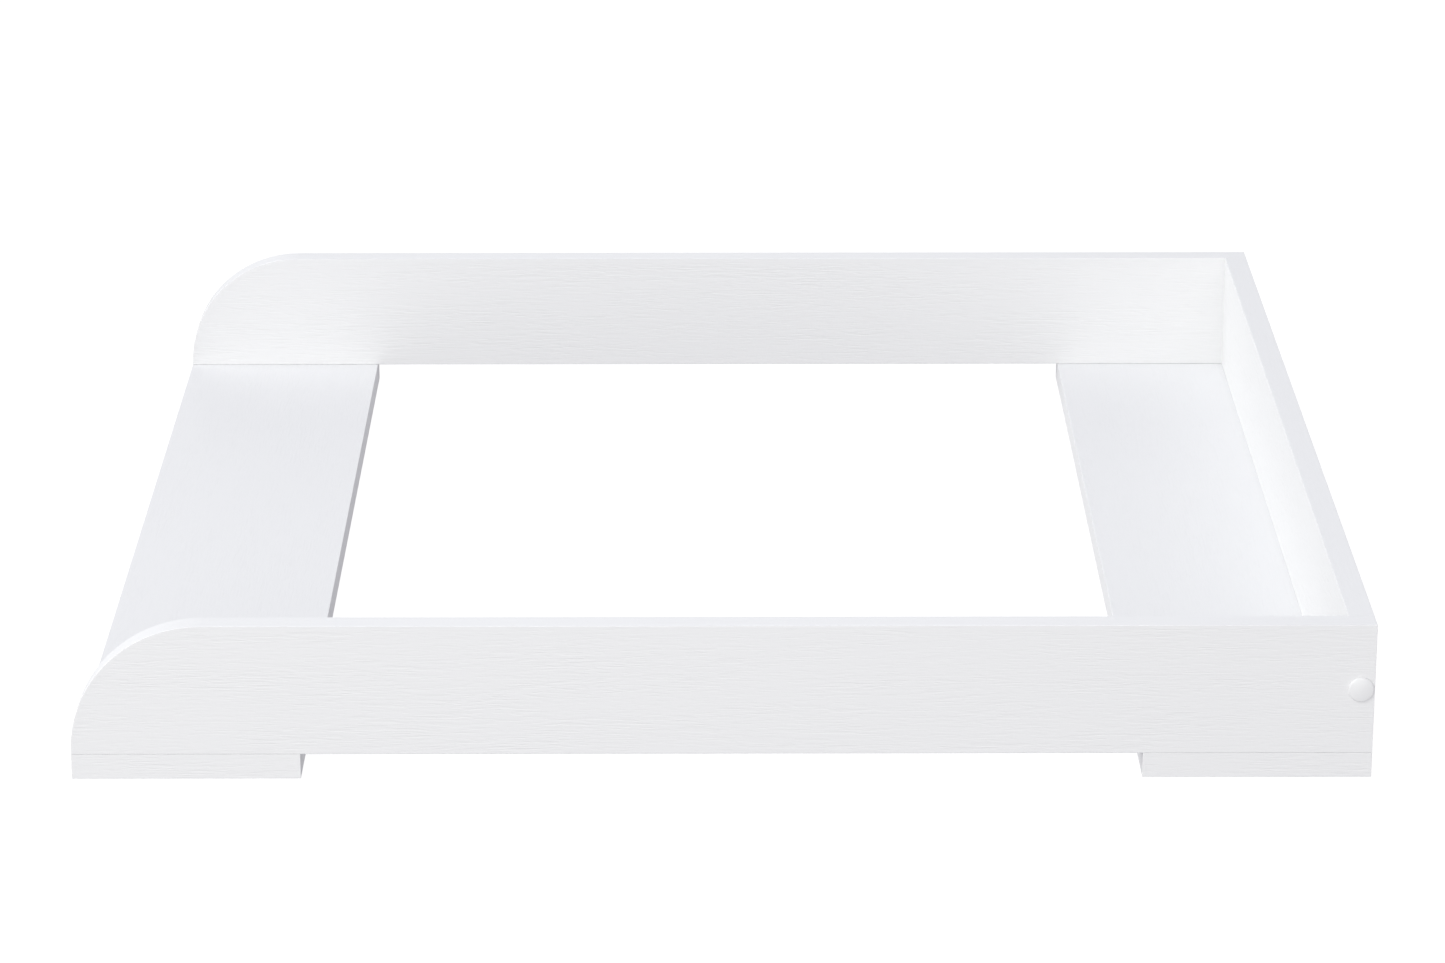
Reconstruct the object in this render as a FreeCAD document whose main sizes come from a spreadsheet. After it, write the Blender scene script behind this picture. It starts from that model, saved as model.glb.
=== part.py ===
import FreeCAD, Part
import math
import os
import Sketcher

# A changing table topper: an open box frame that turns the top of a dresser into a changing table.
# Two side boards and a back board stand on two cross slats. The front end is open and the side
# boards are rounded there, so that a parent can stand at it. The mat lies between the boards.
#
# Frame: origin at the middle of the underside, +X from the open front end to the back board,
# +Y to the left side board as the parent sees it, +Z up. Millimetres.

SIZES = (
    ("overall_length", 800, "open front end to outer face of the back board, along X"),
    ("overall_width", 800, "outer face to outer face of the side boards, along Y"),
    ("overall_height", 100, "underside of the slats to the top of the boards"),
    ("board_thickness", 16, "every board and slat"),
    ("slat_width", 141, "each cross slat, along X"),
    ("curve_radius", 82, "quarter round at the front of each side board"),
    ("band_thickness", 1, "edge band on every visible narrow face"),
    ("edge_rounding", 0.3, "trimmed outer corners of the edge bands"),
    ("seam_rounding", 0.6, "lower corners of a side board, above the slats"),
    ("back_rounding", 0.5, "lower corners of the back board, above the rear slat"),
    ("joint_inset", 8.5, "back board screws and dowels, from the rear face"),
    ("back_screw_offset", 240, "screws under the back board, from the middle plane"),
    ("slat_screw_inset", 38, "slat screws, from the slat's outer long edge"),
    ("slat_screw_spacing", 64, "between the two screws of a slat under one side board"),
    ("screw_length", 50, "connecting screw, overall"),
    ("head_diameter", 10, "screw head"),
    ("head_height", 4, "screw head"),
    ("head_recess", 0.5, "screw head below the surface of its board"),
    ("shank_diameter", 7, "plain part of the screw below its head"),
    ("core_diameter", 4.8, "screw between its threads"),
    ("thread_diameter", 7, "outside of the screw's threads"),
    ("thread_pitch", 3, "coarse chipboard thread"),
    ("thread_count", 10, "turns of thread"),
    ("tip_length", 4, "tapered screw point"),
    ("tip_diameter", 1.2, "blunt end of the screw point"),
    ("socket_flats", 4, "hexagon socket across its flats"),
    ("socket_depth", 3.2, "hexagon socket"),
    ("recess_diameter", 10.4, "hole that takes a screw head"),
    ("clearance_diameter", 7.2, "hole that a screw passes through"),
    ("pilot_diameter", 5, "hole that the threads cut into"),
    ("pilot_depth", 36, "depth of a pilot hole"),
    ("dowel_diameter", 8, "wooden dowel"),
    ("dowel_length", 30, "wooden dowel"),
    ("dowel_depth", 10, "length of a dowel inside a side board"),
    ("dowel_offset", 24, "each dowel above and below the joint screw"),
    ("dowel_chamfer", 1, "both ends of a dowel"),
    ("dowel_groove", 0.8, "width of a glue groove along a dowel"),
    ("dowel_groove_count", 12, "glue grooves around a dowel"),
    ("hole_spare", 1, "dowel hole deeper than the dowel"),
    ("cap_diameter", 16, "domed cap over a joint screw"),
    ("cap_height", 2.6, "crown of a cap above the board"),
    ("cap_rim", 1.6, "edge of a cap below its dome, before it is rounded"),
    ("cap_rounding", 1.2, "outer corner of a cap, between its edge and its dome"),
    ("cap_wall", 1.1, "shell of a cap"),
    ("stem_diameter", 3.8, "stem that holds a cap in the screw's socket"),
    ("stem_length", 3, "stem below the cap"),
    ("stem_chamfer", 0.5, "end of the stem"),
)

LENGTH = "Sizes.overall_length"
WIDTH = "Sizes.overall_width"
THICK = "Sizes.board_thickness"
BAND = "Sizes.band_thickness"
CURVE = "Sizes.curve_radius"
SLAT = "Sizes.slat_width"
BOARD_HEIGHT = "(Sizes.overall_height - Sizes.board_thickness)"
BACK_LENGTH = "(Sizes.overall_width - 2 * Sizes.board_thickness)"
JOINT_X = "(Sizes.overall_length / 2 - Sizes.joint_inset)"
JOINT_Z = f"({THICK} + {BOARD_HEIGHT} / 2)"
HEAD_DEPTH = "(Sizes.head_recess + Sizes.head_height)"
THREAD_START = "(Sizes.board_thickness - Sizes.head_recess)"

PILOT = ("Sizes.pilot_diameter", "Sizes.pilot_depth")
CLEARANCE = ("Sizes.clearance_diameter", THICK)
RECESS = ("Sizes.recess_diameter", HEAD_DEPTH)

RIGHT, LEFT = 1, -1  # which way is inwards along Y, from the board's outer face
SMALL = 1e-4

doc = FreeCAD.newDocument("changing_table_topper")
sheet = doc.addObject("Spreadsheet::Sheet", "Sizes")
for row, (alias, size, meaning) in enumerate(SIZES, start=1):
    sheet.set(f"A{row}", meaning)
    sheet.set(f"B{row}", str(size))
    sheet.setAlias(f"B{row}", alias)
doc.recompute()

nodes = []  # every sub-part, in the order it is made


def value(expression):
    """The number that an expression over the sheet gives."""
    return float(sheet.evalExpression(str(expression)))


def node(part, name):
    """Names a finished sub-part and keeps it for export."""
    part.Label = name
    nodes.append(part)
    return part


def place(part, x, y, z, rotation=None):
    """Puts a part's own origin at a point given by three expressions."""
    part.Placement = FreeCAD.Placement(FreeCAD.Vector(), rotation or FreeCAD.Rotation())
    for axis, expression in zip("xyz", (x, y, z)):
        part.setExpression(f"Placement.Base.{axis}", str(expression))
    return part


def sketch_on(body, role, name, lift=None):
    """A sketch on one of the body's own origin planes, lifted along the plane's normal."""
    sketch = body.newObject("Sketcher::SketchObject", name)
    plane = next(f for f in body.Origin.OriginFeatures if f.Role == role)
    sketch.AttachmentSupport = (plane, [""])
    sketch.MapMode = "FlatFace"
    if lift is not None:
        sketch.setExpression("AttachmentOffset.Base.z", lift)
    return sketch


def dimension(sketch, geometry, corner, across, up):
    """Holds one point of a sketch at (across, up) from the sketch's origin."""
    for kind, axis, expression in (("DistanceX", -2, across), ("DistanceY", -1, up)):
        if abs(value(expression)) < SMALL:
            sketch.addConstraint(Sketcher.Constraint("PointOnObject", geometry, corner, axis))
            continue
        datum = Sketcher.Constraint(kind, -1, 1, geometry, corner, value(expression))
        index = sketch.addConstraint(datum)
        sketch.setExpression(f"Constraints[{index}]", str(expression))


def outline(sketch, corners, arcs=()):
    """A closed outline through corners, which are pairs of expressions.

    arcs holds (number of the corner it starts at, radius, turn): turn is 1 for an arc that runs
    counter-clockwise and -1 for one that runs clockwise. Every other side is straight.
    """
    points = [FreeCAD.Vector(value(x), value(y), 0) for x, y in corners]
    bends = {start: (radius, turn) for start, radius, turn in arcs}
    ends = []
    for i, start in enumerate(points):
        end = points[(i + 1) % len(points)]
        if i not in bends:
            sketch.addGeometry(Part.LineSegment(start, end))
            ends.append((1, 2))
            continue
        radius, turn = bends[i]
        chord = end - start
        reach = math.sqrt(value(radius) ** 2 - (chord.Length / 2) ** 2) / chord.Length
        centre = start + chord / 2 + FreeCAD.Vector(-chord.y, chord.x, 0) * reach * turn
        first, last = (start, end) if turn > 0 else (end, start)
        angles = [math.atan2(p.y - centre.y, p.x - centre.x) for p in (first, last)]
        circle = Part.Circle(centre, FreeCAD.Vector(0, 0, 1), value(radius))
        sketch.addGeometry(Part.ArcOfCircle(circle, *angles))
        ends.append((1, 2) if turn > 0 else (2, 1))
    for i in range(len(points)):
        after = (i + 1) % len(points)
        join = Sketcher.Constraint("Coincident", i, ends[i][1], after, ends[after][0])
        sketch.addConstraint(join)
    for i, (x, y) in enumerate(corners):
        dimension(sketch, i, ends[i][0], x, y)
    for i, (radius, _) in bends.items():
        index = sketch.addConstraint(Sketcher.Constraint("Radius", i, value(radius)))
        sketch.setExpression(f"Constraints[{index}]", str(radius))


def pad(body, sketch, name, length, reverse=False):
    feature = body.newObject("PartDesign::Pad", name)
    feature.Profile = sketch
    feature.setExpression("Length", length)
    feature.Reversed = reverse
    return feature


def drill(body, role, name, hole, centres, lift=None, reverse=False):
    """Round holes of one size: hole is (diameter, depth), centres are pairs of expressions."""
    diameter, depth = hole
    sketch = sketch_on(body, role, f"{name}_sketch", lift)
    for i, (x, y) in enumerate(centres):
        middle = FreeCAD.Vector(value(x), value(y), 0)
        circle = Part.Circle(middle, FreeCAD.Vector(0, 0, 1), value(diameter) / 2)
        sketch.addGeometry(circle)
        dimension(sketch, i, 3, x, y)
        index = sketch.addConstraint(Sketcher.Constraint("Diameter", i, value(diameter)))
        sketch.setExpression(f"Constraints[{index}]", diameter)
    feature = body.newObject("PartDesign::Pocket", name)
    feature.Profile = sketch
    feature.setExpression("Length", depth)
    feature.Reversed = reverse
    return feature


def round_edges(body, feature, wanted, radius="Sizes.edge_rounding"):
    """Rounds the edges of a feature whose middle point passes the test."""
    doc.recompute()
    names = []
    for number, edge in enumerate(feature.Shape.Edges, start=1):
        middle = edge.valueAt((edge.FirstParameter + edge.LastParameter) / 2)
        if wanted(middle):
            names.append(f"Edge{number}")
    fillet = body.newObject("PartDesign::Fillet", f"{body.Name}_rounding")
    fillet.Base = (feature, names)
    fillet.setExpression("Radius", radius)
    return fillet


def block(name, size):
    """A body with one rectangular pad from its origin, and that pad."""
    body = doc.addObject("PartDesign::Body", name)
    across, along, up = size
    sketch = sketch_on(body, "XY_Plane", f"{name}_sketch")
    outline(sketch, [(0, 0), (across, 0), (across, along), (0, along)])
    return body, pad(body, sketch, f"{name}_pad", up)


def edge_strip(name, size, joined, holes=(), rounding="Sizes.edge_rounding"):
    """A straight edge band. joined names the faces that touch a board or another band, such as
    x0 for the face at the low end of X and x1 for the high end. All other corners are rounded."""
    body, shape = block(f"{name}_body", size)
    extent = dict(zip("xyz", (value(length) for length in size)))
    planes = [(face[0], extent[face[0]] * int(face[1])) for face in joined]

    def outside(middle):
        return all(abs(getattr(middle, axis) - level) > SMALL for axis, level in planes)

    round_edges(body, shape, outside, rounding)
    if holes:
        drill(body, "XY_Plane", f"{name}_holes", CLEARANCE, holes, reverse=True)
    return node(body, name)


# ---------------------------------------------------------------- fasteners


def screw(name):
    """A connecting screw for chipboard. Its head's face is at its origin and its tip is on +Z."""
    body = doc.addObject("PartDesign::Body", name)
    head, shank = "Sizes.head_diameter / 2", "Sizes.shank_diameter / 2"
    core = "Sizes.core_diameter / 2"
    tip_start = "(Sizes.screw_length - Sizes.tip_length)"
    profile = sketch_on(body, "XZ_Plane", f"{name}_profile")
    outline(profile, [
        (0, 0), (head, 0), (head, "Sizes.head_height"), (shank, "Sizes.head_height"),
        (shank, THREAD_START), (core, THREAD_START), (core, tip_start),
        ("Sizes.tip_diameter / 2", "Sizes.screw_length"), (0, "Sizes.screw_length"),
    ])
    shaft = body.newObject("PartDesign::Revolution", f"{name}_shaft")
    shaft.Profile = profile
    shaft.ReferenceAxis = (profile, ["V_Axis"])

    # One ring stands for one turn of the thread: a flank, a narrow crest and a flank, at these
    # shares of the pitch. Its root lies inside the shaft, so that the two join.
    thread = "Sizes.thread_diameter / 2"
    root = "Sizes.tip_diameter / 2"
    levels = [f"{THREAD_START} + {share} * Sizes.thread_pitch" for share in (0.1, 0.4, 0.5, 0.8)]
    tooth = sketch_on(body, "XZ_Plane", f"{name}_tooth")
    outline(tooth, [
        (root, levels[0]), (core, levels[0]), (thread, levels[1]), (thread, levels[2]),
        (core, levels[3]), (root, levels[3]),
    ])
    turn = body.newObject("PartDesign::Revolution", f"{name}_turn")
    turn.Profile = tooth
    turn.ReferenceAxis = (tooth, ["V_Axis"])

    threads = body.newObject("PartDesign::LinearPattern", f"{name}_threads")
    threads.Originals = [turn]
    threads.Direction = (tooth, ["V_Axis"])
    threads.setExpression("Length", "(Sizes.thread_count - 1) * Sizes.thread_pitch")
    threads.setExpression("Occurrences", "Sizes.thread_count")
    body.Tip = threads

    socket = sketch_on(body, "XY_Plane", f"{name}_socket_sketch")
    side, corner = "Sizes.socket_flats / 2", "Sizes.socket_flats / sqrt(3)"
    outline(socket, [
        (side, f"-{corner} / 2"), (side, f"{corner} / 2"), (0, corner),
        (f"-{side}", f"{corner} / 2"), (f"-{side}", f"-{corner} / 2"), (0, f"-{corner}"),
    ])
    hexagon = body.newObject("PartDesign::Pocket", f"{name}_socket")
    hexagon.Profile = socket
    hexagon.setExpression("Length", "Sizes.socket_depth")
    hexagon.Reversed = True
    return body


def dowel(name):
    """A grooved wooden dowel along +Z, with both ends chamfered."""
    body = doc.addObject("PartDesign::Body", name)
    radius, chamfer = "Sizes.dowel_diameter / 2", "Sizes.dowel_chamfer"
    profile = sketch_on(body, "XZ_Plane", f"{name}_profile")
    outline(profile, [
        (0, 0), (f"{radius} - {chamfer}", 0), (radius, chamfer),
        (radius, f"Sizes.dowel_length - {chamfer}"),
        (f"{radius} - {chamfer}", "Sizes.dowel_length"), (0, "Sizes.dowel_length"),
    ])
    pin = body.newObject("PartDesign::Revolution", f"{name}_pin")
    pin.Profile = profile
    pin.ReferenceAxis = (profile, ["V_Axis"])
    groove = drill(body, "XY_Plane", f"{name}_groove",
                   ("Sizes.dowel_groove", "Sizes.dowel_length"), [(radius, 0)], reverse=True)
    grooves = body.newObject("PartDesign::PolarPattern", f"{name}_grooves")
    grooves.Originals = [groove]
    grooves.Axis = (profile, ["V_Axis"])
    grooves.Angle = 360
    grooves.setExpression("Occurrences", "Sizes.dowel_groove_count")
    body.Tip = grooves
    return body


def screw_cap(name):
    """A domed cap. Its own z is 0 on the board's face, the crown is on +Z and the stem on -Z."""
    body = doc.addObject("PartDesign::Body", name)
    edge, stem = "Sizes.cap_diameter / 2", "Sizes.stem_diameter / 2"
    inner_edge = f"({edge} - Sizes.cap_wall)"
    foot = "-Sizes.stem_length"
    rise = "(Sizes.cap_height - Sizes.cap_rim)"
    dome = f"((({edge}) ^ 2 + {rise} ^ 2) / (2 * {rise}))"  # radius of the dome's sphere
    hollow = f"({dome} - Sizes.cap_wall)"

    def ceiling(radius):
        """The height of the hollow's roof at a distance from the axis."""
        return f"Sizes.cap_height - {dome} + sqrt({hollow} ^ 2 - ({radius}) ^ 2)"

    profile = sketch_on(body, "XZ_Plane", f"{name}_profile")
    outline(profile, [
        (0, foot), (f"{stem} - Sizes.stem_chamfer", foot), (stem, f"{foot} + Sizes.stem_chamfer"),
        (stem, ceiling(stem)), (inner_edge, ceiling(inner_edge)), (inner_edge, 0),
        (edge, 0), (edge, "Sizes.cap_rim"), (0, "Sizes.cap_height"),
    ], arcs=[(3, hollow, -1), (7, dome, 1)])
    shell = body.newObject("PartDesign::Revolution", f"{name}_shell")
    shell.Profile = profile
    shell.ReferenceAxis = (profile, ["V_Axis"])

    def at_corner(middle):
        return (abs(middle.z - value("Sizes.cap_rim")) < SMALL
                and abs(math.hypot(middle.x, middle.y) - value(edge)) < SMALL)

    round_edges(body, shell, at_corner, "Sizes.cap_rounding")
    return body


def pair(one, other):
    """Two separate solids in one sub-part."""
    both = doc.addObject("Part::Fuse", f"{one.Name}_and_{other.Name}")
    both.Base = one
    both.Tool = other
    return both


def thread_into(board, screws):
    """The board with the grooves that the screws' threads cut into its pilot holes."""
    for fastener in screws:
        cut = doc.addObject("Part::Cut", f"{board.Name}_cut")
        cut.Base = board
        cut.Tool = fastener
        board = cut
    return board


def side_name(inward):
    return "right" if inward == RIGHT else "left"


def outer_face(inward):
    """The Y of a side board's outer face."""
    return f"{-inward} * {WIDTH} / 2"


def slat_screw_places(front):
    """The X of the two screws of a slat, at the front or the rear end."""
    side = -1 if front else 1
    outer = f"{LENGTH} / 2 - Sizes.slat_screw_inset"
    return [f"{side} * ({outer})", f"{side} * ({outer} - Sizes.slat_screw_spacing)"]


def slat_screws(front, inward):
    """The two screws that come up through a slat into a side board."""
    name = f"{'front' if front else 'rear'}_slat_{side_name(inward)}_screws"
    middle = f"{outer_face(inward)} + {inward} * {THICK} / 2"
    both = [place(screw(f"{name}_{i}"), x, middle, "Sizes.head_recess")
            for i, x in enumerate(slat_screw_places(front))]
    return node(pair(*both), name)


def back_screws():
    """The two screws that come up through the rear slat into the back board."""
    name = "rear_slat_back_screws"
    both = [place(screw(f"{name}_{i}"), JOINT_X, f"{side} * Sizes.back_screw_offset",
                  "Sizes.head_recess") for i, side in enumerate((-1, 1))]
    return node(pair(*both), name)


def inward_turn(inward, outward=False):
    """The rotation that lays a part's +Z along Y, inwards or outwards."""
    direction = -inward if outward else inward
    return FreeCAD.Rotation(FreeCAD.Vector(1, 0, 0), -90 * direction)


def joint_screw(inward):
    """The screw through a side board into the end of the back board."""
    body = screw(f"{side_name(inward)}_joint_screw_body")
    face = f"{outer_face(inward)} + {inward} * Sizes.head_recess"
    place(body, JOINT_X, face, JOINT_Z, inward_turn(inward))
    return node(body, f"{side_name(inward)}_joint_screw")


def joint_cap(inward):
    body = screw_cap(f"{side_name(inward)}_screw_cap_body")
    place(body, JOINT_X, outer_face(inward), JOINT_Z, inward_turn(inward, outward=True))
    return node(body, f"{side_name(inward)}_screw_cap")


def joint_dowels(inward):
    """One dowel above and one below the joint screw."""
    name = f"{side_name(inward)}_joint_dowels"
    start = f"{outer_face(inward)} + {inward} * ({THICK} - Sizes.dowel_depth)"
    both = [place(dowel(f"{name}_{i}"), JOINT_X, start, f"{JOINT_Z} + {side} * Sizes.dowel_offset",
                  inward_turn(inward)) for i, side in enumerate((-1, 1))]
    return node(pair(*both), name)


# ---------------------------------------------------------------- side boards

# Along a side board, X is measured from its front end and Z from its bottom edge.
SIDE_JOINT = (f"({LENGTH} - Sizes.joint_inset)", f"({BOARD_HEIGHT} / 2)")
SIDE_DOWELS = [(SIDE_JOINT[0], f"({SIDE_JOINT[1]} - Sizes.dowel_offset)"),
               (SIDE_JOINT[0], f"({SIDE_JOINT[1]} + Sizes.dowel_offset)")]


def side_screw_places(inward):
    """Where the slat screws enter a side board's bottom edge."""
    places = slat_screw_places(front=True) + slat_screw_places(front=False)
    return [(f"{x} + {LENGTH} / 2", f"{inward} * {THICK} / 2") for x in places]


def side_board(inward, screws):
    name = f"{side_name(inward)}_side_board"
    body = doc.addObject("PartDesign::Body", f"{name}_body")
    place(body, f"-{LENGTH} / 2", outer_face(inward), THICK)
    top, rear = f"({BOARD_HEIGHT} - {BAND})", f"({LENGTH} - {BAND})"
    sketch = sketch_on(body, "XZ_Plane", f"{name}_sketch")
    outline(sketch, [
        (BAND, BAND), (rear, BAND), (rear, top), (CURVE, top),
        (BAND, f"{BOARD_HEIGHT} - {CURVE}"),
    ], arcs=[(3, f"{CURVE} - {BAND}", 1)])
    into_board = inward == RIGHT
    pad(body, sketch, f"{name}_pad", THICK, reverse=into_board)
    from_outside = dict(reverse=not into_board)
    drill(body, "XZ_Plane", f"{name}_recess", RECESS, [SIDE_JOINT], **from_outside)
    drill(body, "XZ_Plane", f"{name}_clearance", CLEARANCE, [SIDE_JOINT], **from_outside)
    dowel_hole = ("Sizes.dowel_diameter", "Sizes.dowel_depth + Sizes.hole_spare")
    drill(body, "XZ_Plane", f"{name}_dowel_holes", dowel_hole, SIDE_DOWELS,
          lift=f"{-inward} * {THICK}", reverse=into_board)
    pilot = (PILOT[0], f"{PILOT[1]} + {BAND}")
    drill(body, "XY_Plane", f"{name}_pilots", pilot, side_screw_places(inward), reverse=True)
    return node(thread_into(body, screws), name)


def side_edge_band(inward):
    """The strip that runs up the front end, over the curve and along the top of a side board."""
    name = f"{side_name(inward)}_side_board_edge_band"
    body = doc.addObject("PartDesign::Body", f"{name}_body")
    place(body, f"-{LENGTH} / 2", outer_face(inward), THICK)
    turn = f"({BOARD_HEIGHT} - {CURVE})"
    under = f"({BOARD_HEIGHT} - {BAND})"
    sketch = sketch_on(body, "XZ_Plane", f"{name}_sketch")
    outline(sketch, [
        (0, 0), (BAND, 0), (BAND, turn), (CURVE, under), (LENGTH, under),
        (LENGTH, BOARD_HEIGHT), (CURVE, BOARD_HEIGHT), (0, turn),
    ], arcs=[(2, f"{CURVE} - {BAND}", -1), (6, CURVE, 1)])
    strip = pad(body, sketch, f"{name}_pad", THICK, reverse=inward == RIGHT)

    length, height, curve, band = [value(e) for e in (LENGTH, BOARD_HEIGHT, CURVE, BAND)]
    slant = curve * (1 - math.sqrt(0.5))
    corners = [
        (0, 0), (band / 2, 0), (0, (height - curve) / 2), (slant, height - slant),
        ((curve + length) / 2, height), (length, height), (length, height - band / 2),
    ]

    def on_corner(middle):
        return any(math.hypot(middle.x - x, middle.z - z) < SMALL for x, z in corners)

    round_edges(body, strip, on_corner)
    return node(body, name)


def side_end_band(inward):
    """The strip on a side board's rear end, under the end of the strip along the top."""
    name = f"{side_name(inward)}_side_board_end_band"
    body = edge_strip(name, (BAND, THICK, f"({BOARD_HEIGHT} - {BAND})"), ("x0", "z1"))
    low_face = f"min({outer_face(inward)}; {outer_face(inward)} + {inward} * {THICK})"
    return place(body, f"{LENGTH} / 2 - {BAND}", low_face, THICK)


def side_bottom_band(inward):
    """The strip under a side board, between its other two strips."""
    name = f"{side_name(inward)}_side_board_bottom_band"
    holes = [(f"{x} - {BAND}", f"{THICK} / 2") for x, _ in side_screw_places(inward)]
    size = (f"({LENGTH} - 2 * {BAND})", THICK, BAND)
    body = edge_strip(name, size, ("z1", "x0", "x1"), holes, "Sizes.seam_rounding")
    low_face = f"min({outer_face(inward)}; {outer_face(inward)} + {inward} * {THICK})"
    return place(body, f"-{LENGTH} / 2 + {BAND}", low_face, THICK)


# ---------------------------------------------------------------- back board


def back_board(screws):
    """Between the side boards, on the rear slat. It has no band on its hidden bottom edge."""
    size = (THICK, BACK_LENGTH, f"({BOARD_HEIGHT} - {BAND})")
    body, shape = block("back_board_body", size)
    half_length = value(BACK_LENGTH) / 2

    def along_bottom(middle):
        return middle.z < SMALL and abs(middle.y - half_length) < SMALL

    round_edges(body, shape, along_bottom, "Sizes.back_rounding")
    place(body, f"{LENGTH} / 2 - {THICK}", f"-{BACK_LENGTH} / 2", THICK)
    joint = f"({THICK} - Sizes.joint_inset)"
    height = f"({BOARD_HEIGHT} / 2)"
    dowel_hole = ("Sizes.dowel_diameter",
                  "Sizes.dowel_length - Sizes.dowel_depth + Sizes.hole_spare")
    dowels = [(joint, f"{height} - Sizes.dowel_offset"), (joint, f"{height} + Sizes.dowel_offset")]
    for end, at_right in (("right", True), ("left", False)):
        face = dict(lift=None if at_right else f"-{BACK_LENGTH}", reverse=not at_right)
        drill(body, "XZ_Plane", f"back_board_{end}_pilot", PILOT, [(joint, height)], **face)
        drill(body, "XZ_Plane", f"back_board_{end}_dowel_holes", dowel_hole, dowels, **face)
    bottom = [(joint, f"{BACK_LENGTH} / 2 + {side} * Sizes.back_screw_offset") for side in (-1, 1)]
    drill(body, "XY_Plane", "back_board_bottom_pilots", PILOT, bottom, reverse=True)
    return node(thread_into(body, screws), "back_board")


def back_board_top_band():
    body = edge_strip("back_board_top_band", (THICK, BACK_LENGTH, BAND), ("z0", "y0", "y1"))
    return place(body, f"{LENGTH} / 2 - {THICK}", f"-{BACK_LENGTH} / 2",
                 f"Sizes.overall_height - {BAND}")


# ---------------------------------------------------------------- slats


def slat(front):
    """A cross slat under the ends of both side boards, drilled from below for its screws."""
    name = "front_slat" if front else "rear_slat"
    size = (f"({SLAT} - 2 * {BAND})", f"({WIDTH} - 2 * {BAND})", THICK)
    body, _ = block(f"{name}_body", size)
    corner = f"-{LENGTH} / 2 + {BAND}" if front else f"{LENGTH} / 2 - {SLAT} + {BAND}"
    place(body, corner, f"-{WIDTH} / 2 + {BAND}", 0)
    rows = [f"({THICK} / 2 - {BAND})", f"({WIDTH} - {THICK} / 2 - {BAND})"]
    holes = [(f"{x} - ({corner})", y) for x in slat_screw_places(front) for y in rows]
    if not front:
        holes += [(f"{JOINT_X} - ({corner})",
                   f"{WIDTH} / 2 - {BAND} + {side} * Sizes.back_screw_offset") for side in (-1, 1)]
    drill(body, "XY_Plane", f"{name}_clearance", CLEARANCE, holes, reverse=True)
    drill(body, "XY_Plane", f"{name}_recesses", RECESS, holes, reverse=True)
    return node(body, name)


def slat_bands(front):
    """Bands along both long edges of a slat, and one between them at each end."""
    name = "front_slat" if front else "rear_slat"
    low_x = f"-{LENGTH} / 2" if front else f"{LENGTH} / 2 - {SLAT}"
    high_x = f"{low_x} + {SLAT} - {BAND}"
    low_is_outer = front
    long_size = (BAND, WIDTH, THICK)
    for is_low, x, joined in ((True, low_x, "x1"), (False, high_x, "x0")):
        which = "outer" if is_low == low_is_outer else "inner"
        body = edge_strip(f"{name}_{which}_band", long_size, (joined,))
        place(body, x, f"-{WIDTH} / 2", 0)
    end_size = (f"({SLAT} - 2 * {BAND})", BAND, THICK)
    for inward, joined in ((RIGHT, "y1"), (LEFT, "y0")):
        body = edge_strip(f"{name}_{side_name(inward)}_end_band", end_size, (joined, "x0", "x1"))
        y = outer_face(inward) if inward == RIGHT else f"{outer_face(inward)} - {BAND}"
        place(body, f"{low_x} + {BAND}", y, 0)


# ---------------------------------------------------------------- assembly

joint_screws = [joint_screw(inward) for inward in (RIGHT, LEFT)]
back_board([*joint_screws, back_screws()])
back_board_top_band()
for inward in (RIGHT, LEFT):
    screws = [slat_screws(front, inward) for front in (True, False)]
    side_board(inward, screws)
    side_edge_band(inward)
    side_end_band(inward)
    side_bottom_band(inward)
    joint_cap(inward)
    joint_dowels(inward)
for front in (True, False):
    slat(front)
    slat_bands(front)
doc.recompute()

for item in doc.Objects:
    if {"Invalid", "Error"} & set(item.State):
        raise RuntimeError(f"{item.Label} is {item.State}")
for part in nodes:
    if part.Shape.isNull() or not part.Shape.isValid() or not part.Shape.Solids:
        raise RuntimeError(f"{part.Label} has no valid solid")

os.makedirs("parts", exist_ok=True)
for part in nodes:
    part.Shape.exportStep(f"parts/{part.Label}.step")
    print(part.Label, len(part.Shape.Solids), round(part.Shape.Volume / 1000, 3), "cm3")
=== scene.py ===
import math

import bmesh
import bpy
from mathutils import Matrix, Vector


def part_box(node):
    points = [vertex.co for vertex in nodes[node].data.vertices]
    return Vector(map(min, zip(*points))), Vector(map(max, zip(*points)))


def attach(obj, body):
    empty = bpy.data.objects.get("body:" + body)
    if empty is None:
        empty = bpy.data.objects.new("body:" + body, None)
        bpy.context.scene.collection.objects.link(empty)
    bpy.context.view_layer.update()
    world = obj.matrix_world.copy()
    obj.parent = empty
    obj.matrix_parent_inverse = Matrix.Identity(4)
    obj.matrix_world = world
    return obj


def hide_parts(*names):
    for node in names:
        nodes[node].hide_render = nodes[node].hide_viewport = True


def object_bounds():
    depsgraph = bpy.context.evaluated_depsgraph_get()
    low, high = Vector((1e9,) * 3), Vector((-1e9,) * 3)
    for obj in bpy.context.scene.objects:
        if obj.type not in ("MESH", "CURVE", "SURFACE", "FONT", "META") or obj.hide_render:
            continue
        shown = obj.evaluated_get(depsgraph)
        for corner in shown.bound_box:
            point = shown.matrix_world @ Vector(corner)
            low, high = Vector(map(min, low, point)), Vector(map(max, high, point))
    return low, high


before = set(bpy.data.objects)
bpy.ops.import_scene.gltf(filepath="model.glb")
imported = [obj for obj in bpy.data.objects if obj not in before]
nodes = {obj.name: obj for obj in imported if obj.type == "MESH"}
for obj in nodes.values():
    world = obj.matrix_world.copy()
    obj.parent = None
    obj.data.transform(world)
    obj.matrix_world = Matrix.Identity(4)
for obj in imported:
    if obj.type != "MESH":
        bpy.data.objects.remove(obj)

MM = 0.001
cad_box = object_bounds()
scene = bpy.context.scene


# ---------------------------------------------------------------- camera, floor and lights

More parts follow.
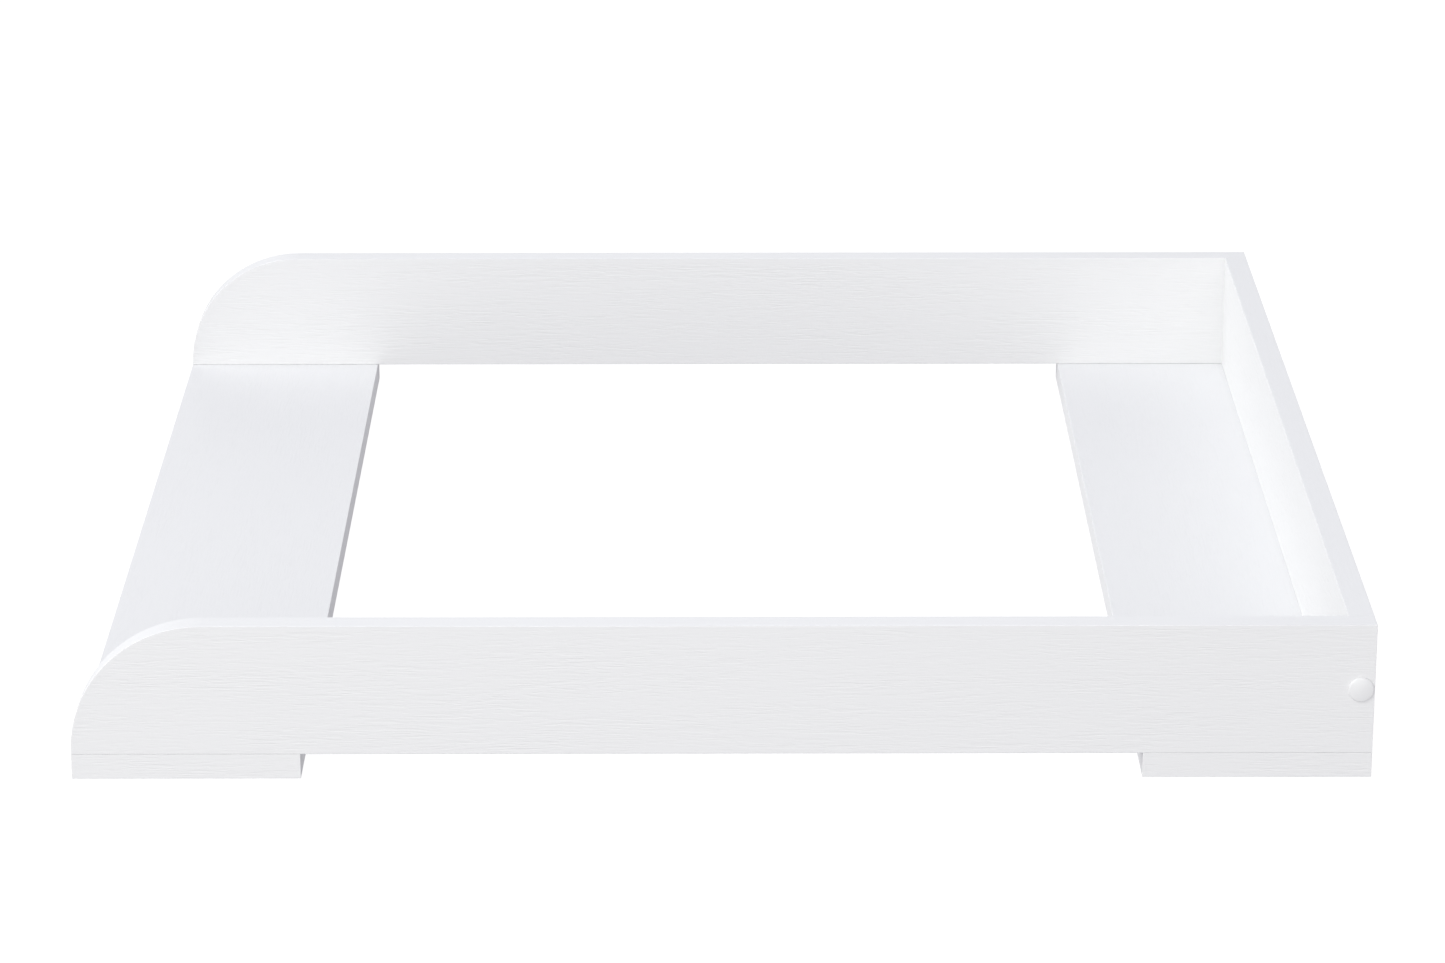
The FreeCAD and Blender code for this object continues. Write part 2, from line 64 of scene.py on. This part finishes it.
# The camera stands in front of the right side board, almost square to it, and looks down at it.
CAMERA_YAW = 0.2265       # degrees to the right of +Y
CAMERA_PITCH = 19.118     # degrees down
CAMERA_DISTANCE = 3450.7 * MM
CAMERA_LENS, SENSOR_WIDTH = 125.05, 36.0      # mm
CAMERA_NEAR, CAMERA_FAR = 0.1, 200.0
AIM = Vector((2.05, 0, 4.5)) * MM      # from the middle of the object

FLOOR_HALF, DOME_RADIUS = 30.0, 28.0
FLOOR_COLOUR, FLOOR_GLOW = (0.1, 0.1, 0.1), 0.94
BACKDROP_COLOUR, BACKDROP_GLOW = (0, 0, 0), 1.0

# Soft round lights: azimuth (0 in front of the object, 90 at its open end, 180 behind it),
# elevation, distance, diameter, power and colour. The floor glow comes up between the slats.
LIGHTS = {
    "open_end_light": (90, 15, 8.0, 5.0, 323.6, (0.984, 1.0, 0.981)),
    "front_light": (0, 15, 8.0, 5.0, 207.6, (0.998, 1.0, 0.975)),
    "front_left_light": (30, 35, 4.0, 2.6, 45.7, (0.982, 1.0, 0.97)),
    "back_light": (180, 15, 4.0, 2.6, 12.3, (0.969, 1.0, 0.942)),
    "top_light": (0, 90, 3.5, 1.6, 25.4, (0.862, 0.9, 1.0)),
    "floor_glow": (102, -50, 5.0, 1.2, 36.0, (0.98, 1.0, 0.98)),
}
SURROUND = (0.5268, 0.5234, 0.5572)


def heading(yaw, pitch):
    """The direction that lies yaw degrees to the right of +Y and pitch degrees down."""
    yaw, pitch = math.radians(yaw), math.radians(pitch)
    return Vector((math.sin(yaw) * math.cos(pitch), math.cos(yaw) * math.cos(pitch), -math.sin(pitch)))


def add_object(name, data):
    piece = bpy.data.objects.new(name, data)
    scene.collection.objects.link(piece)
    return piece


def look_along(piece, direction):
    piece.rotation_mode = "QUATERNION"
    piece.rotation_quaternion = direction.to_track_quat("-Z", "Y")


def add_camera():
    low, high = cad_box
    view = heading(CAMERA_YAW, CAMERA_PITCH)
    data = bpy.data.cameras.new("camera")
    data.lens = CAMERA_LENS
    data.sensor_width = SENSOR_WIDTH
    data.clip_start, data.clip_end = CAMERA_NEAR, CAMERA_FAR
    camera = add_object("camera", data)
    camera.location = (low + high) / 2 + AIM - view * CAMERA_DISTANCE
    look_along(camera, view)
    scene.camera = camera


def add_lights():
    for name, (azimuth, elevation, distance, size, power, colour) in LIGHTS.items():
        data = bpy.data.lights.new(name, "AREA")
        data.shape = "DISK"
        data.size = size
        data.energy = power
        data.color = colour
        light = add_object(name, data)
        towards = heading(azimuth, elevation)
        light.location = -towards * distance
        look_along(light, towards)
    world = bpy.data.worlds.new("surround")
    world.use_nodes = True
    background = world.node_tree.nodes["Background"]
    background.inputs["Color"].default_value = (*SURROUND, 1)
    background.inputs["Strength"].default_value = 1.0
    scene.world = world


def glowing(name, colour, glow):
    """Pale and bright of itself. The lighter its colour, the more of a shadow it takes."""
    material = bpy.data.materials.new(name)
    material.use_nodes = True
    shader = material.node_tree.nodes["Principled BSDF"]
    shader.inputs["Base Color"].default_value = (*colour, 1)
    shader.inputs["Roughness"].default_value = 0.9
    shader.inputs["Emission Color"].default_value = (1, 1, 1, 1)
    shader.inputs["Emission Strength"].default_value = glow
    return material


def add_backdrop(name, shape, material):
    """A surface that only the camera sees. It neither lights nor shades the object."""
    data = bpy.data.meshes.new(name)
    shape.to_mesh(data)
    shape.free()
    data.materials.append(material)
    piece = add_object(name, data)
    piece.visible_diffuse = False
    piece.visible_glossy = False
    piece.visible_transmission = False
    piece.visible_shadow = False
    return piece


def add_floor():
    shape = bmesh.new()
    bmesh.ops.create_grid(shape, x_segments=1, y_segments=1, size=FLOOR_HALF)
    floor = add_backdrop("floor", shape, glowing("floor_white", FLOOR_COLOUR, FLOOR_GLOW))
    floor.location.z = cad_box[0].z
    shape = bmesh.new()
    bmesh.ops.create_uvsphere(shape, u_segments=48, v_segments=24, radius=DOME_RADIUS)
    add_backdrop("backdrop", shape, glowing("backdrop_white", BACKDROP_COLOUR, BACKDROP_GLOW))


# ---------------------------------------------------------------- materials

WHITE = (0.78, 0.78, 0.78)


def shade(colour, share):
    return tuple(share * c for c in colour)


class Shading:
    """The shader nodes of one material, with short ways to add and join them."""

    def __init__(self, name, roughness, metallic=0.0):
        self.material = bpy.data.materials.new(name)
        self.material.use_nodes = True
        self.tree = self.material.node_tree
        self.shader = self.tree.nodes["Principled BSDF"]
        self.set(self.shader, Roughness=roughness, Metallic=metallic)

    def join(self, socket, value):
        """value is a constant, or another node's output that is joined to the socket."""
        if isinstance(value, bpy.types.NodeSocket):
            self.tree.links.new(value, socket)
        else:
            socket.default_value = value

    def set(self, node, **inputs):
        for name, value in inputs.items():
            self.join(node.inputs[name.replace("_", " ")], value)

    def place(self, turn=(0, 0, 0), move=(0, 0, 0), scale=(1, 1, 1)):
        """The place of a point in the row frame in metres, scaled, turned and moved."""
        source = self.tree.nodes.new("ShaderNodeTexCoord")
        mapping = self.tree.nodes.new("ShaderNodeMapping")
        self.set(mapping, Vector=source.outputs["Object"], Rotation=turn, Location=move, Scale=scale)
        return mapping.outputs["Vector"]

    def coordinate(self, place, axis):
        node = self.tree.nodes.new("ShaderNodeSeparateXYZ")
        self.set(node, Vector=place)
        return node.outputs[axis.upper()]

    def noise(self, place, scale=1.0, detail=0.0):
        node = self.tree.nodes.new("ShaderNodeTexNoise")
        self.set(node, Vector=place, Scale=scale, Detail=detail)
        return node.outputs["Fac"]

    def cells(self, place, scale):
        """A random grey for each of many small cells."""
        node = self.tree.nodes.new("ShaderNodeTexVoronoi")
        self.set(node, Vector=place, Scale=scale)
        return self.coordinate(node.outputs["Color"], "x")

    def vector_math(self, operation, first, second):
        node = self.tree.nodes.new("ShaderNodeVectorMath")
        node.operation = operation
        self.join(node.inputs[0], first)
        self.join(node.inputs[1], second)
        return node.outputs["Vector"]

    def stretch(self, place, scale):
        return self.vector_math("MULTIPLY", place, scale)

    def math(self, operation, first, second=0.0):
        node = self.tree.nodes.new("ShaderNodeMath")
        node.operation = operation
        self.join(node.inputs[0], first)
        self.join(node.inputs[1], second)
        return node.outputs["Value"]

    def ramp(self, value, start, end, low=0.0, high=1.0):
        """Takes value from start..end to low..high, with soft ends."""
        node = self.tree.nodes.new("ShaderNodeMapRange")
        node.interpolation_type = "SMOOTHSTEP"
        self.set(node, Value=value, From_Min=start, From_Max=end, To_Min=low, To_Max=high)
        return node.outputs["Result"]

    def blend(self, share, first, second):
        """A colour between two colours."""
        node = self.tree.nodes.new("ShaderNodeMix")
        node.data_type = "RGBA"
        sockets = [s for s in node.inputs if s.type == "RGBA"]
        self.join(node.inputs["Factor"], share)
        for socket, colour in zip(sockets, (first, second)):
            self.join(socket, (*colour, 1) if isinstance(colour, tuple) else colour)
        return [s for s in node.outputs if s.type == "RGBA"][0]

    def bump(self, height, depth):
        """Relief: a height of 1 stands depth metres proud."""
        node = self.tree.nodes.new("ShaderNodeBump")
        self.set(node, Height=height, Distance=depth, Strength=1.0)
        self.set(self.shader, Normal=node.outputs["Normal"])


# The grain's layers, as noise per metre along the grain, across it and into the board.
WANDER, CROWD = (4, 12, 12), (9, 60, 60)
LINES, STROKES, PORES = (17, 330, 330), (48, 640, 640), (100, 900, 900)
SIDEWAYS = 5.0                      # mm
SEED_STEP = (0.37, 0.11, 0.23)      # metres between the places that two boards' grains are taken from


def embossed_grain(surface, along, seed):
    """Wood grain pressed into a foil: 0 on the flat surface, up to 1 in its deepest strokes.

    Fine lines run a few centimetres along the grain. Shorter strokes and pores, about 1 mm wide, are
    a little denser in some bands than in others. All of it wanders slightly sideways.
    """
    turn = {"x": 0.0, "y": -math.pi / 2}[along]
    place = surface.place(turn=(0, 0, turn), move=tuple(seed * step for step in SEED_STEP))
    wander = surface.noise(surface.stretch(place, WANDER), detail=1.0)
    sideways = surface.math("MULTIPLY", surface.math("SUBTRACT", wander, 0.5), SIDEWAYS * MM)
    shift = surface.tree.nodes.new("ShaderNodeCombineXYZ")
    surface.set(shift, Y=sideways, Z=sideways)
    bent = surface.vector_math("ADD", place, shift.outputs["Vector"])

    crowd = surface.noise(surface.stretch(bent, CROWD), detail=1.5)
    lines = surface.noise(surface.stretch(bent, LINES), detail=1.0)
    lines = surface.math("ABSOLUTE", surface.math("SUBTRACT", lines, 0.5))
    lines = surface.math("MULTIPLY", surface.ramp(lines, 0.07, 0.0),
                         surface.ramp(crowd, 0.4, 0.6, 0.2, 0.5))
    strokes = surface.noise(surface.stretch(bent, STROKES), detail=0.6)
    strokes = surface.math("MULTIPLY", surface.ramp(strokes, 0.56, 0.7),
                           surface.ramp(crowd, 0.38, 0.58, 0.5, 1.0))
    pores = surface.noise(surface.stretch(bent, PORES), detail=0.5)
    pores = surface.math("MULTIPLY", surface.ramp(pores, 0.54, 0.7),
                         surface.ramp(crowd, 0.35, 0.65, 0.4, 0.8))
    return surface.math("MAXIMUM", surface.math("MAXIMUM", strokes, pores), lines)


# How far inside a board chipboard begins, in mm, from its faces and from its edges.
FACE_SKIN, EDGE_SKIN, SKIN_FADE = 0.15, 0.6, 0.1


def inside_board(surface, thin_axis, box):
    """1 on the walls of holes drilled into a board, 0 on its foil and along its edges."""
    low, high = box
    inside = 1.0
    for axis in "xyz":
        near, far = getattr(low, axis), getattr(high, axis)
        skin = (FACE_SKIN if axis == thin_axis else EDGE_SKIN) * MM
        off_middle = surface.math("SUBTRACT", surface.coordinate(surface.place(), axis), (near + far) / 2)
        depth = surface.math("SUBTRACT", (far - near) / 2, surface.math("ABSOLUTE", off_middle))
        inside = surface.math("MULTIPLY", inside, surface.ramp(depth, skin, skin + SKIN_FADE * MM))
    return inside


CHIP_DARK, CHIP_LIGHT, CHIP_DUST = (0.3, 0.18, 0.09), (0.62, 0.45, 0.27), (0.7, 0.54, 0.36)
CHIP_RELIEF = 3.0       # against the grain's


def board_material(name, along, seed, depth, thin_axis, box):
    """White foil with embossed grain on a board's faces, and raw chipboard in its drilled holes. The
    grain's strokes are darker, partly from dirt and partly from painted shade of the pores.
    """
    surface = Shading(name, 0.5)
    grain = embossed_grain(surface, along, seed)
    cloud = surface.noise(surface.place(), 9.0, detail=2.0)
    # Painted shade: the foil is 1% darker in the grain's strokes, partly for dirt in them and partly for
    # the shade that falls in the pores. The cloud's tone varies at random.
    foil = surface.blend(grain, surface.blend(cloud, shade(WHITE, 0.992), WHITE), shade(WHITE, 0.99))

    chips = surface.cells(surface.place(), 900.0)
    dust = surface.noise(surface.place(), 2500.0, detail=2.0)
    chipboard = surface.blend(chips, CHIP_DARK, CHIP_LIGHT)
    chipboard = surface.blend(surface.ramp(dust, 0.4, 0.8), chipboard, CHIP_DUST)
    inside = inside_board(surface, thin_axis, box)

    surface.set(surface.shader, Base_Color=surface.blend(inside, foil, chipboard))
    foil_roughness = surface.ramp(grain, 0, 1, 0.48, 0.62)
    surface.set(surface.shader, Roughness=surface.math("MAXIMUM", inside, foil_roughness))
    rough = surface.math("MULTIPLY", surface.math("MULTIPLY", chips, inside), CHIP_RELIEF)
    surface.bump(surface.math("SUBTRACT", rough, grain), depth * MM)
    return surface.material


def band_material(name, along, seed, depth):
    """White edge band: the same grain, over a fine roughness. The grain's strokes are darker, partly from
    dirt and partly from painted shade of the pores.
    """
    surface = Shading(name, 0.45)
    grain = embossed_grain(surface, along, seed)
    fine = surface.noise(surface.place(), 900.0, detail=1.0)
    # Painted shade: the band is 1.5% darker in the grain's strokes, partly for dirt in them and partly for
    # the shade that falls in the pores.
    surface.set(surface.shader, Base_Color=surface.blend(grain, WHITE, shade(WHITE, 0.985)))
    surface.set(surface.shader, Roughness=surface.ramp(fine, 0.3, 0.7, 0.4, 0.5))
    relief = surface.math("SUBTRACT", surface.math("MULTIPLY", fine, 0.06), grain)
    surface.bump(relief, depth * MM)
    return surface.material


def cap_material():
    """Moulded white plastic with a satin face."""
    surface = Shading("moulded_white", 0.35)
    fine = surface.noise(surface.place(), 2600.0, detail=2.0)
    cloud = surface.noise(surface.place(), 260.0, detail=1.0)
    surface.set(surface.shader, Base_Color=surface.blend(cloud, shade(WHITE, 0.985), WHITE))
    surface.set(surface.shader, Roughness=surface.ramp(cloud, 0.3, 0.7, 0.3, 0.4))
    surface.bump(fine, 0.006 * MM)
    return surface.material


def zinc_material():
    """Bright zinc plating, a little cloudy, with fine scratches."""
    surface = Shading("bright_zinc", 0.3, metallic=1.0)
    cloud = surface.noise(surface.place(), 420.0, detail=2.0)
    scratches = surface.noise(surface.place(scale=(1, 1, 9)), 2400.0, detail=1.0)
    surface.set(surface.shader, Base_Color=surface.blend(cloud, (0.66, 0.68, 0.72), (0.8, 0.79, 0.75)))
    surface.set(surface.shader, Roughness=surface.ramp(cloud, 0.3, 0.7, 0.24, 0.42))
    surface.bump(scratches, 0.008 * MM)
    return surface.material


def beech_material():
    """Raw beech with short dark flecks along the dowel."""
    surface = Shading("raw_beech", 0.7)
    fibres = surface.noise(surface.place(scale=(1, 0.06, 1)), 1500.0, detail=2.0)
    flecks = surface.noise(surface.place(move=(0.4, 0, 0), scale=(1, 0.12, 1)), 3400.0)
    wood = surface.blend(fibres, (0.52, 0.33, 0.18), (0.68, 0.48, 0.29))
    wood = surface.blend(surface.ramp(flecks, 0.63, 0.75), wood, (0.45, 0.27, 0.14))
    surface.set(surface.shader, Base_Color=wood)
    surface.bump(fibres, 0.04 * MM)
    return surface.material


def dress(piece, material):
    piece.data.materials.clear()
    piece.data.materials.append(material)


# ---------------------------------------------------------------- turned pieces

TURN = 72                       # points around a turned piece, a multiple of 6 for the hexagon socket
WELD = 0.002 * MM               # closer points are joined
SHARP = math.radians(40)        # steeper corners are sharp edges


def arc(centre, radius, start, end, steps):
    """Points (radius, height) on an arc, between two angles in degrees from outwards to up."""
    angles = [math.radians(start + (end - start) * i / steps) for i in range(steps + 1)]
    return [(centre[0] + radius * math.cos(a), centre[1] + radius * math.sin(a)) for a in angles]


def add_row(shape, reach, height):
    """A closed row of TURN points. reach and height, in mm, are constants or functions of the angle."""
    row = []
    for i in range(TURN):
        angle = 2 * math.pi * i / TURN
        r = (reach(angle) if callable(reach) else reach) * MM
        z = (height(angle) if callable(height) else height) * MM
        row.append(shape.verts.new((r * math.cos(angle), r * math.sin(angle), z)))
    return row


def skin_rows(shape, rows, lead=0):
    """Faces between rows. With a lead, a row ends where the row that many places on begins."""
    def at(row, i):
        return rows[min(row + lead, len(rows) - 1)][0] if i == TURN else rows[row][i]

    for row in range(len(rows) - 1):
        for i in range(TURN):
            corners = (at(row, i), at(row, i + 1), at(row + 1, i + 1), at(row + 1, i))
            corners = list(dict.fromkeys(corners))
            if len(corners) > 2:
                shape.faces.new(corners)


def turned(profile):
    """A closed solid of revolution. The profile, in mm, goes from the axis round to the axis."""
    shape = bmesh.new()
    skin_rows(shape, [add_row(shape, max(r, 0.0), z) for r, z in profile])
    return shape


def add_piece(name, shape, material, node):
    """Closes a shape on its axis, faces it outwards and makes it stand for a CAD node."""
    bmesh.ops.remove_doubles(shape, verts=shape.verts, dist=WELD)
    bmesh.ops.recalc_face_normals(shape, faces=shape.faces)
    data = bpy.data.meshes.new(name)
    shape.to_mesh(data)
    shape.free()
    data.materials.append(material)
    data.shade_smooth()
    data.set_sharp_from_angle(angle=SHARP)
    piece = add_object(name, data)
    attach(piece, "root")
    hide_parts(node)


# Millimetres, from the board's face outwards.
CAP_RADIUS, CAP_HEIGHT, CAP_EDGE, CAP_ROUNDING, CAP_WALL = 8.0, 2.6, 1.6, 1.2, 1.1
STEM_RADIUS, STEM_LENGTH, STEM_CHAMFER = 1.9, 3.0, 0.5
INNER_ROUNDING, RIM_CHAMFER = 0.3, 0.1


def cap_shape():
    """A low domed cap with a rounded corner, hollow underneath, with a stem for the socket."""
    rise = CAP_HEIGHT - CAP_EDGE
    dome = (CAP_RADIUS ** 2 + rise ** 2) / (2 * rise)
    middle = CAP_HEIGHT - dome                     # height of the middle of the dome's sphere
    across = CAP_RADIUS - CAP_ROUNDING
    up = middle + math.sqrt((dome - CAP_ROUNDING) ** 2 - across ** 2)
    meet = math.degrees(math.atan2(up - middle, across))
    inner = CAP_RADIUS - CAP_WALL

    def roof(radius):
        return middle + math.sqrt((dome - CAP_WALL) ** 2 - radius ** 2)

    def corner_under_roof(wall, outwards, start, end):
        centre = (wall + outwards * INNER_ROUNDING, roof(wall) - INNER_ROUNDING)
        return arc(centre, INNER_ROUNDING, start, end, 4)

    profile = [(0, -STEM_LENGTH), (STEM_RADIUS - STEM_CHAMFER, -STEM_LENGTH)]
    profile += [(STEM_RADIUS, STEM_CHAMFER - STEM_LENGTH)]
    profile += corner_under_roof(STEM_RADIUS, 1, 180, 90)
    profile += [(r, roof(r)) for r in (3.0, 4.0, 5.0, 6.0)]
    profile += corner_under_roof(inner, -1, 90, 0)
    profile += [(inner, RIM_CHAMFER), (inner + RIM_CHAMFER, 0)]
    profile += [(CAP_RADIUS - RIM_CHAMFER, 0), (CAP_RADIUS, RIM_CHAMFER)]
    profile += arc((across, up), CAP_ROUNDING, 0, meet, 12)
    profile += arc((0, middle), dome, meet, 90, 24)[1:]
    return turned(profile)


# Millimetres, from the face of the screw's head towards its tip.
SOCKET_FLATS, SOCKET_MOUTH, SOCKET_DEPTH, SOCKET_POINT = 4.0, 0.45, 3.2, 0.4
HEAD_RADIUS, HEAD_HEIGHT, FACE_ROUNDING, BACK_ROUNDING, NECK_ROUNDING = 5.0, 4.0, 0.6, 0.3, 0.4
SHANK_RADIUS, SHANK_END, SHANK_BEVEL = 3.5, 15.5, (0.3, 0.6)      # across, along
CORE_RADIUS, CREST_RADIUS = 2.4, 3.5
THREAD_START, THREAD_END, THREAD_RISE, THREAD_FADE = 15.9, 45.6, 1.5, 2.5
TIP_RADIUS, SCREW_LENGTH = 0.6, 50.0
PITCH = 3.0
# The thread's outline over one pitch: share of the pitch, share of the thread's height.
TOOTH = ((0.0, 0), (0.1, 0), (0.25, 0.5), (0.4, 1), (0.5, 1), (0.65, 0.5), (0.8, 0))


def socket_reach(angle):
    return SOCKET_FLATS / 2 / math.cos(angle % (math.pi / 3) - math.pi / 6)


def climb(turns, angle):
    """The height of a point of the thread, which climbs one pitch in a turn."""
    height = THREAD_START + PITCH * (turns + angle / (2 * math.pi))
    return min(max(height, THREAD_START), THREAD_END)


def thread_reach(turns, tall, angle):
    """The thread rises out of the core at its start and sinks into it near the tip."""
    height = climb(turns, angle)
    fade = min(1.0, (height - THREAD_START) / THREAD_RISE, (THREAD_END - height) / THREAD_FADE)
    return CORE_RADIUS + (CREST_RADIUS - CORE_RADIUS) * tall * fade


def screw_shape():
    """A connecting screw along +Z with a hexagon socket and one helical thread."""
    shape = bmesh.new()
    head = [(2.5, 0.05), (2.6, 0)]
    head += arc((HEAD_RADIUS - FACE_ROUNDING, FACE_ROUNDING), FACE_ROUNDING, -90, 0, 6)
    head += arc((HEAD_RADIUS - BACK_ROUNDING, HEAD_HEIGHT - BACK_ROUNDING), BACK_ROUNDING, 0, 90, 3)
    head += arc((SHANK_RADIUS + NECK_ROUNDING, HEAD_HEIGHT + NECK_ROUNDING), NECK_ROUNDING, -90, -180, 4)
    across, along = SHANK_BEVEL
    head += [(SHANK_RADIUS, SHANK_END - along), (SHANK_RADIUS - across, SHANK_END)]
    head += [(CORE_RADIUS, THREAD_START)]
    rows = [add_row(shape, 0.0, SOCKET_DEPTH + SOCKET_POINT)]
    rows += [add_row(shape, socket_reach, z) for z in (SOCKET_DEPTH, SOCKET_MOUTH)]
    rows += [add_row(shape, r, z) for r, z in head]
    skin_rows(shape, rows)

    thread = []
    for turn in range(-2, math.ceil((THREAD_END - THREAD_START) / PITCH) + 2):
        for share, tall in TOOTH:
            turns = turn + share
            thread.append(add_row(shape, lambda a: thread_reach(turns, tall, a), lambda a: climb(turns, a)))
    skin_rows(shape, thread, lead=len(TOOTH))

    tip = [(CORE_RADIUS, THREAD_END), (CORE_RADIUS, THREAD_END + 0.4), (TIP_RADIUS, SCREW_LENGTH - 0.35),
           (TIP_RADIUS * 0.7, SCREW_LENGTH - 0.1), (0, SCREW_LENGTH)]
    skin_rows(shape, [add_row(shape, r, z) for r, z in tip])
    return shape


# Millimetres.
DOWEL_RADIUS, DOWEL_LENGTH, DOWEL_CHAMFER = 4.0, 30.0, 1.0
FLUTES, FLUTE_DEPTH = 12, 0.4


def dowel_shape():
    """A dowel along +Z with chamfered ends and narrow flutes for the glue."""
    def fluted(angle):
        return DOWEL_RADIUS - FLUTE_DEPTH * max(0.0, math.cos(FLUTES * angle)) ** 2

    end = DOWEL_RADIUS - DOWEL_CHAMFER
    outline = [(0, 0), (end, 0), (fluted, DOWEL_CHAMFER), (fluted, DOWEL_LENGTH - DOWEL_CHAMFER),
               (end, DOWEL_LENGTH), (0, DOWEL_LENGTH)]
    shape = bmesh.new()
    skin_rows(shape, [add_row(shape, r, z) for r, z in outline])
    return shape


def lay(shape, place, outward):
    """Turns a shape's +Z to an outward direction and moves its origin to a place."""
    turn = Vector((0, 0, 1)).rotation_difference(outward).to_matrix().to_4x4()
    shape.transform(Matrix.Translation(place) @ turn)
    return shape


def add_caps():
    material = cap_material()
    for side, outwards in (("left", 1), ("right", -1)):
        node = f"{side}_screw_cap"
        low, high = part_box(node)
        crown = high.y if outwards > 0 else low.y
        place = Vector(((low.x + high.x) / 2, crown - outwards * CAP_HEIGHT * MM, (low.z + high.z) / 2))
        shape = lay(cap_shape(), place, Vector((0, outwards, 0)))
        add_piece(f"{side}_cap_moulding", shape, material, node)


def add_screws():
    """Each screw becomes a piece of its own. A node's box is as long as its screws."""
    material = zinc_material()
    for node in sorted(n for n in nodes if "screw" in n and "cap" not in n):
        low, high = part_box(node)
        middle, size = (low + high) / 2, high - low
        if "joint" in node:
            into = Vector((0, -1 if middle.y > 0 else 1, 0))
            places = [middle - into * size.y / 2]
        else:
            into = Vector((0, 0, 1))
            along = Vector((1, 0, 0)) if size.x > size.y else Vector((0, 1, 0))
            apart = along * (max(size.x, size.y) / 2 - HEAD_RADIUS * MM)
            foot = Vector((middle.x, middle.y, low.z))
            places = [foot - apart, foot + apart]
        for number, place in enumerate(places, start=1):
            shape = lay(screw_shape(), place, into)
            add_piece(f"{node}_turned_{number}", shape, material, node)


def add_dowels():
    """Two dowels stand for each node, one at the foot and one at the top of its box."""
    material = beech_material()
    for side in ("left", "right"):
        node = f"{side}_joint_dowels"
        low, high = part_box(node)
        for number, height in enumerate((low.z + DOWEL_RADIUS * MM, high.z - DOWEL_RADIUS * MM), start=1):
            place = Vector(((low.x + high.x) / 2, low.y, height))
            shape = lay(dowel_shape(), place, Vector((0, 1, 0)))
            add_piece(f"{side}_fluted_dowel_{number}", shape, material, node)


# ---------------------------------------------------------------- the frame's own parts

THIN_AXIS = {"left_side_board": "y", "right_side_board": "y", "back_board": "x",
             "front_slat": "z", "rear_slat": "z"}

# How deep the grain is pressed, in mm.
BOARD_GRAIN, SLAT_GRAIN = 0.09, 0.035
BAND_GRAIN, SLAT_END_GRAIN = 0.02, 0.1


def dress_frame():
    """Gives each board and band its material. Each foil has a grain of its own."""
    for seed, name in enumerate(sorted(nodes), start=1):
        along = "y" if ("slat" in name or "back" in name) and "end_band" not in name else "x"
        if name in THIN_AXIS:
            depth = SLAT_GRAIN if "slat" in name else BOARD_GRAIN
            material = board_material(name + "_foil", along, seed, depth, THIN_AXIS[name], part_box(name))
            dress(nodes[name], material)
        elif "band" in name:
            depth = SLAT_END_GRAIN if "slat" in name and "end" in name else BAND_GRAIN
            dress(nodes[name], band_material(name + "_foil", along, seed, depth))


add_camera()
add_lights()
add_floor()
dress_frame()
add_caps()
add_screws()
add_dowels()
scene.view_settings.view_transform = "Standard"
